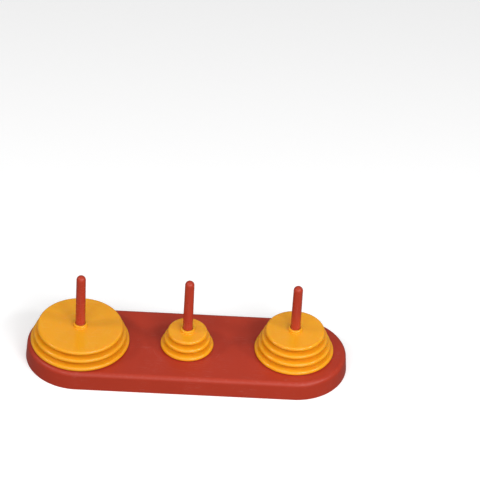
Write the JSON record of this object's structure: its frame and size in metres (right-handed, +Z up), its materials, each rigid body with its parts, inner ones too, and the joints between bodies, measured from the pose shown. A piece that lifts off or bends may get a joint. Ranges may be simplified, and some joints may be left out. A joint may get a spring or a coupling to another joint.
{
  "type": "tower of hanoi puzzle",
  "caption": "Moulded plastic tower of Hanoi puzzle: a hollow base with rounded ends, upright push-in pegs and graded discs with hubs that lift off the pegs.",
  "frame": {"origin": "centre of the base's foot, on the surface that the puzzle stands on, under the middle peg", "axes": "+X along the row of pegs towards the right peg, +Y to the back, +Z up along the pegs"},
  "size_m": [0.2796, 0.0918, 0.0887],
  "materials": {
    "base_plastic": "moulded red plastic, satin gloss",
    "peg_plastic": "moulded red plastic, gloss",
    "disc_plastic": "moulded orange-yellow plastic, satin gloss"
  },
  "bodies": {
    "base": {"base": "base_plastic"},
    "peg_left": {"peg_left": "peg_plastic"},
    "peg_middle": {"peg_middle": "peg_plastic"},
    "peg_right": {"peg_right": "peg_plastic"},
    "disc_10": {"disc_10": "disc_plastic"},
    "disc_09": {"disc_09": "disc_plastic"},
    "disc_08": {"disc_08": "disc_plastic"},
    "disc_03": {"disc_03": "disc_plastic"},
    "disc_02": {"disc_02": "disc_plastic"},
    "disc_01": {"disc_01": "disc_plastic"},
    "disc_07": {"disc_07": "disc_plastic"},
    "disc_06": {"disc_06": "disc_plastic"},
    "disc_05": {"disc_05": "disc_plastic"},
    "disc_04": {"disc_04": "disc_plastic"}
  },
  "joints": [
    {"name": "peg_left_pull", "type": "slide", "parent": "base", "child": "peg_left", "axis": [0, 0, 1], "range_m": [0, 0.0359]},
    {"name": "peg_middle_pull", "type": "slide", "parent": "base", "child": "peg_middle", "axis": [0, 0, 1], "range_m": [0, 0.0359]},
    {"name": "peg_right_pull", "type": "slide", "parent": "base", "child": "peg_right", "axis": [0, 0, 1], "range_m": [0, 0.0425]},
    {"name": "disc_10_lift", "type": "slide", "parent": "base", "child": "disc_10", "axis": [0, 0, 1], "range_m": [0, 0.0743]},
    {"name": "disc_09_lift", "type": "slide", "parent": "disc_10", "child": "disc_09", "axis": [0, 0, 1], "range_m": [0, 0.0677]},
    {"name": "disc_08_lift", "type": "slide", "parent": "disc_09", "child": "disc_08", "axis": [0, 0, 1], "range_m": [0, 0.0611]},
    {"name": "disc_03_lift", "type": "slide", "parent": "base", "child": "disc_03", "axis": [0, 0, 1], "range_m": [0, 0.0743]},
    {"name": "disc_02_lift", "type": "slide", "parent": "disc_03", "child": "disc_02", "axis": [0, 0, 1], "range_m": [0, 0.0677]},
    {"name": "disc_01_lift", "type": "slide", "parent": "disc_02", "child": "disc_01", "axis": [0, 0, 1], "range_m": [0, 0.0611]},
    {"name": "disc_07_lift", "type": "slide", "parent": "base", "child": "disc_07", "axis": [0, 0, 1], "range_m": [0, 0.0743]},
    {"name": "disc_06_lift", "type": "slide", "parent": "disc_07", "child": "disc_06", "axis": [0, 0, 1], "range_m": [0, 0.0677]},
    {"name": "disc_05_lift", "type": "slide", "parent": "disc_06", "child": "disc_05", "axis": [0, 0, 1], "range_m": [0, 0.0611]},
    {"name": "disc_04_lift", "type": "slide", "parent": "disc_05", "child": "disc_04", "axis": [0, 0, 1], "range_m": [0, 0.0545]}
  ]
}
